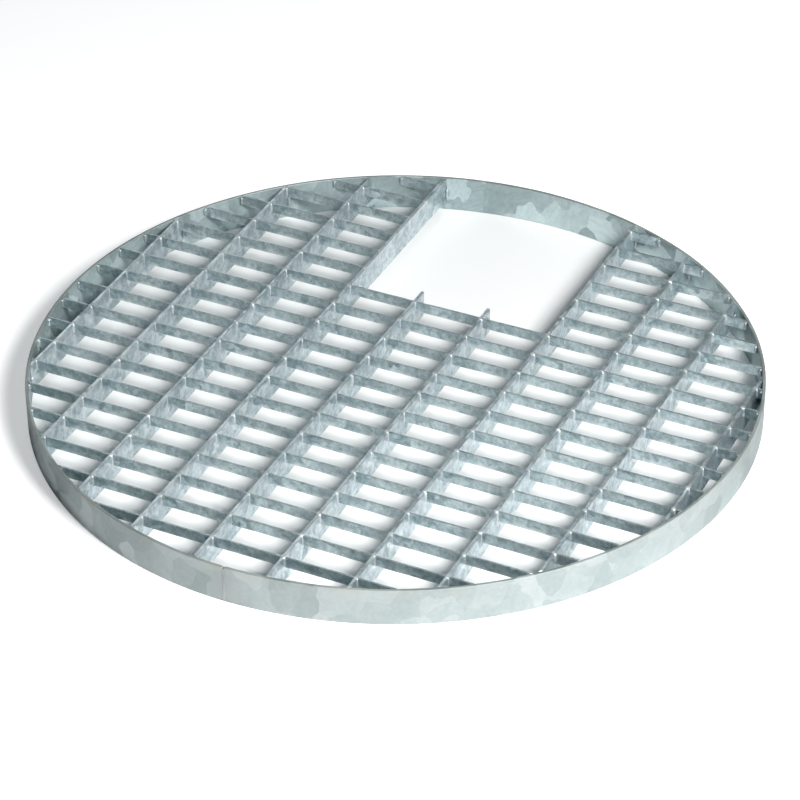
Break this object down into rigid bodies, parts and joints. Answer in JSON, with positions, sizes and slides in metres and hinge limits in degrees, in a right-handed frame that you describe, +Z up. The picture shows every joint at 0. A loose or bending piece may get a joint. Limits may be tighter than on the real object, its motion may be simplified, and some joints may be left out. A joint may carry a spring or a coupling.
{
  "type": "round grating cover",
  "caption": "Round galvanised bar-grating cover for a shaft or manhole, with an edge band and a square cut-out at its rim.",
  "frame": {"origin": "centre of the edge band on its underside, where the cover rests", "axes": "+Z up through the cover, Y along the bearing bars with the cut-out at +Y, X along the cross bars"},
  "size_m": [0.66, 0.66, 0.035],
  "materials": {
    "band_zinc": "hot-dip galvanised, large spangle",
    "bar_zinc": "hot-dip galvanised, fine spangle",
    "cross_zinc": "hot-dip galvanised, matt",
    "weld_zinc": "galvanised weld bead"
  },
  "bodies": {
    "root": {"edge_band": "band_zinc", "edge_band_seam_weld": "weld_zinc", "bearing_bar_01": "bar_zinc", "bearing_bar_02": "bar_zinc", "bearing_bar_03": "bar_zinc", "bearing_bar_04": "bar_zinc", "bearing_bar_05": "bar_zinc", "bearing_bar_06": "bar_zinc", "bearing_bar_07": "bar_zinc", "bearing_bar_08": "bar_zinc", "bearing_bar_09": "bar_zinc", "bearing_bar_10": "bar_zinc", "cross_bar_01": "cross_zinc", "cross_bar_02": "cross_zinc", "cross_bar_03": "cross_zinc", "cross_bar_04": "cross_zinc", "cross_bar_05": "cross_zinc", "cross_bar_06": "cross_zinc", "cross_bar_07": "cross_zinc", "cross_bar_08": "cross_zinc", "cross_bar_09": "cross_zinc", "cross_bar_10": "cross_zinc", "cross_bar_11": "cross_zinc", "cross_bar_12": "cross_zinc", "cross_bar_13": "cross_zinc", "short_cross_bar_left_1": "cross_zinc", "short_cross_bar_left_2": "cross_zinc", "short_cross_bar_left_3": "cross_zinc", "short_cross_bar_left_4": "cross_zinc", "short_cross_bar_left_5": "cross_zinc", "short_cross_bar_left_6": "cross_zinc", "short_cross_bar_right_1": "cross_zinc", "short_cross_bar_right_2": "cross_zinc", "short_cross_bar_right_3": "cross_zinc", "short_cross_bar_right_4": "cross_zinc", "short_cross_bar_right_5": "cross_zinc", "short_cross_bar_right_6": "cross_zinc", "bearing_bar_welds_front": "weld_zinc", "bearing_bar_welds_back": "weld_zinc", "cross_bar_welds_left": "weld_zinc", "cross_bar_welds_right": "weld_zinc"}
  },
  "joints": []
}
